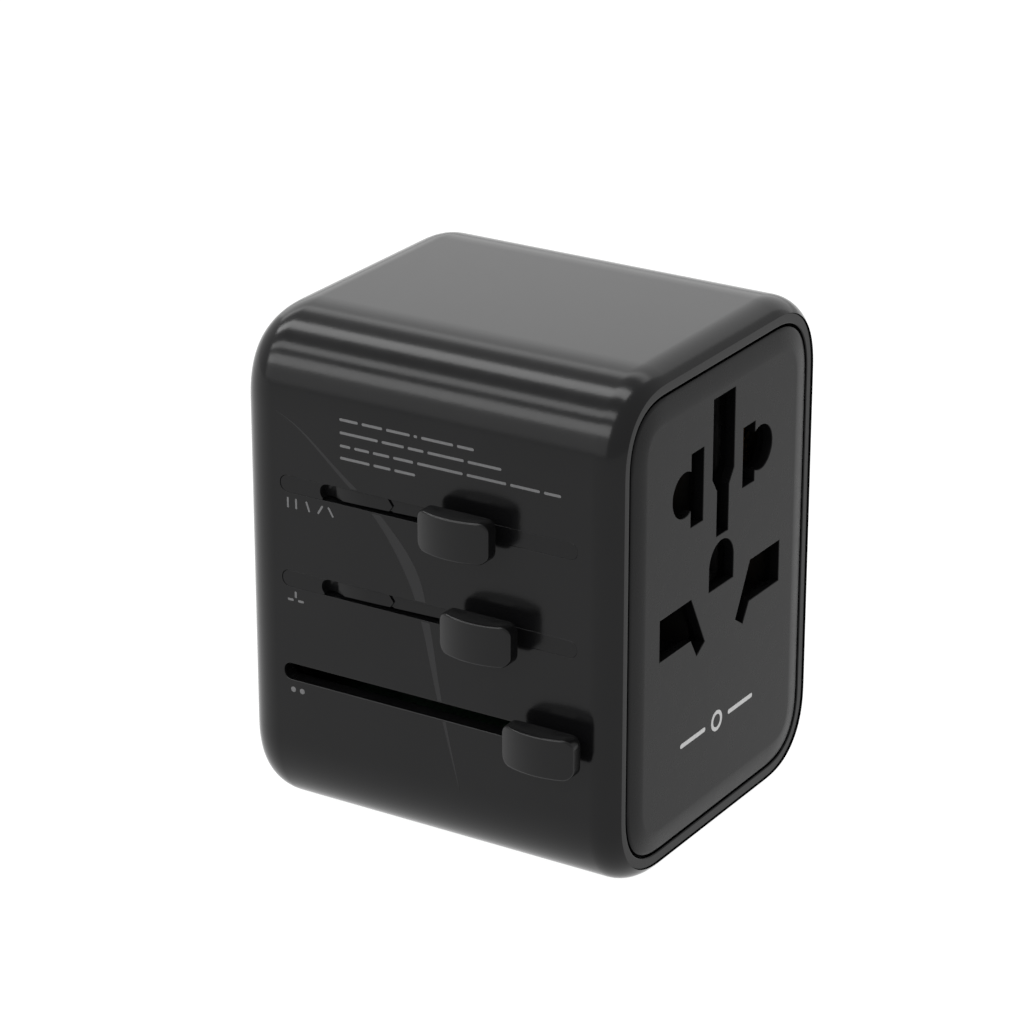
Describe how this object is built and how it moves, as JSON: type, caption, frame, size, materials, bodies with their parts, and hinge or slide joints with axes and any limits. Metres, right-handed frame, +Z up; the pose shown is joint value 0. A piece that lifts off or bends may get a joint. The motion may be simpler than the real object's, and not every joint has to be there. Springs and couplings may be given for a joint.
{
  "type": "universal travel adapter",
  "caption": "Block-shaped universal mains adapter with a multi-standard socket face, three side sliders that push out flat, square and round plug pins, and charging ports underneath.",
  "frame": {"origin": "middle of the underside, the face that it stands on", "axes": "+Z up through the block, -Y out of the socket face, +Y the way the plug pins come out, -X out of the slider face"},
  "size_m": [0.0536, 0.0538, 0.0647],
  "materials": {
    "black_plastic": "semi-gloss black",
    "panel_plastic": "satin black",
    "inner_plastic": "dark grey, plain",
    "insulator_plastic": "off-white, plain",
    "brass": "bright strip",
    "nickel_plate": "nickel plated brass",
    "steel": "plain",
    "circuit_board": "green solder mask",
    "ferrite": "dark, dull",
    "winding_tape": "yellow tape",
    "capacitor_sleeve": "dark blue sleeve",
    "fuse_glass": "clear"
  },
  "bodies": {
    "housing": {"main_shell": "black_plastic", "front_ring": "black_plastic", "socket_panel": "panel_plastic", "contact_carrier": "insulator_plastic", "contact_neutral": "brass", "contact_live": "brass", "carrier_screw_1": "steel", "carrier_screw_2": "steel", "carrier_screw_3": "steel", "carrier_screw_4": "steel", "bus_live": "brass", "bus_neutral": "brass", "pin_guide": "insulator_plastic", "us_slot_liner": "black_plastic", "uk_slot_liner": "black_plastic", "charger_board": "circuit_board", "board_screw_1": "steel", "board_screw_2": "steel", "board_screw_3": "steel", "board_screw_4": "steel", "usb_c_port": "steel", "usb_a_port_front": "steel", "usb_a_port_rear": "steel", "transformer_core": "ferrite", "transformer_coil": "winding_tape", "bulk_capacitor": "capacitor_sleeve", "output_capacitor": "capacitor_sleeve", "rectifier": "ferrite", "choke": "ferrite", "fuse_holder": "insulator_plastic", "fuse_end_front": "nickel_plate", "fuse_glass": "fuse_glass", "fuse_end_rear": "nickel_plate"},
    "us_slider": {"us_carriage": "inner_plastic", "us_knob": "black_plastic", "us_wiper_neutral": "brass", "us_wiper_live": "brass"},
    "uk_slider": {"uk_carriage": "inner_plastic", "uk_knob": "black_plastic", "uk_wiper_neutral": "brass", "uk_wiper_live": "brass", "uk_pin_neutral": "nickel_plate", "uk_pin_live": "nickel_plate", "uk_pin_earth": "black_plastic"},
    "eu_slider": {"eu_carriage": "inner_plastic", "eu_knob": "black_plastic", "eu_wiper_neutral": "brass", "eu_wiper_live": "brass", "eu_pin_left": "nickel_plate", "eu_pin_right": "nickel_plate"},
    "us_blade_left": {"us_blade_left": "nickel_plate"},
    "us_blade_right": {"us_blade_right": "nickel_plate"},
    "us_rotor_left": {"us_rotor_left": "black_plastic"},
    "us_rotor_right": {"us_rotor_right": "black_plastic"},
    "fuse_cap": {"fuse_cap": "black_plastic"}
  },
  "joints": [
    {"name": "us_slide", "type": "slide", "parent": "housing", "child": "us_slider", "axis": [0, 1, 0], "range_m": [0, 0.0198]},
    {"name": "uk_slide", "type": "slide", "parent": "housing", "child": "uk_slider", "axis": [0, 1, 0], "range_m": [0, 0.0228]},
    {"name": "eu_slide", "type": "slide", "parent": "housing", "child": "eu_slider", "axis": [0, 1, 0], "range_m": [0, 0.03635]},
    {"name": "us_blade_left_turn", "type": "hinge", "parent": "us_slider", "child": "us_blade_left", "pos_m": [-0.00635, 0, 0.0447], "axis": [0, 1, 0], "range_deg": [0, 30]},
    {"name": "us_blade_right_turn", "type": "hinge", "parent": "us_slider", "child": "us_blade_right", "pos_m": [0.00635, 0, 0.0447], "axis": [0, 1, 0], "range_deg": [-30, 0]},
    {"name": "us_rotor_left_turn", "type": "hinge", "parent": "housing", "child": "us_rotor_left", "pos_m": [-0.00635, 0, 0.0447], "axis": [0, 1, 0], "range_deg": [0, 30]},
    {"name": "us_rotor_right_turn", "type": "hinge", "parent": "housing", "child": "us_rotor_right", "pos_m": [0.00635, 0, 0.0447], "axis": [0, 1, 0], "range_deg": [-30, 0]},
    {"name": "fuse_cap_turn", "type": "hinge", "parent": "housing", "child": "fuse_cap", "pos_m": [-0.0136, 0, 0.0535], "axis": [0, 1, 0], "range_deg": [0, 90]}
  ],
  "couplings": [
    {"joint": "us_rotor_left_turn", "follows": "us_blade_left_turn", "ratio": 1},
    {"joint": "us_rotor_right_turn", "follows": "us_blade_right_turn", "ratio": 1}
  ]
}
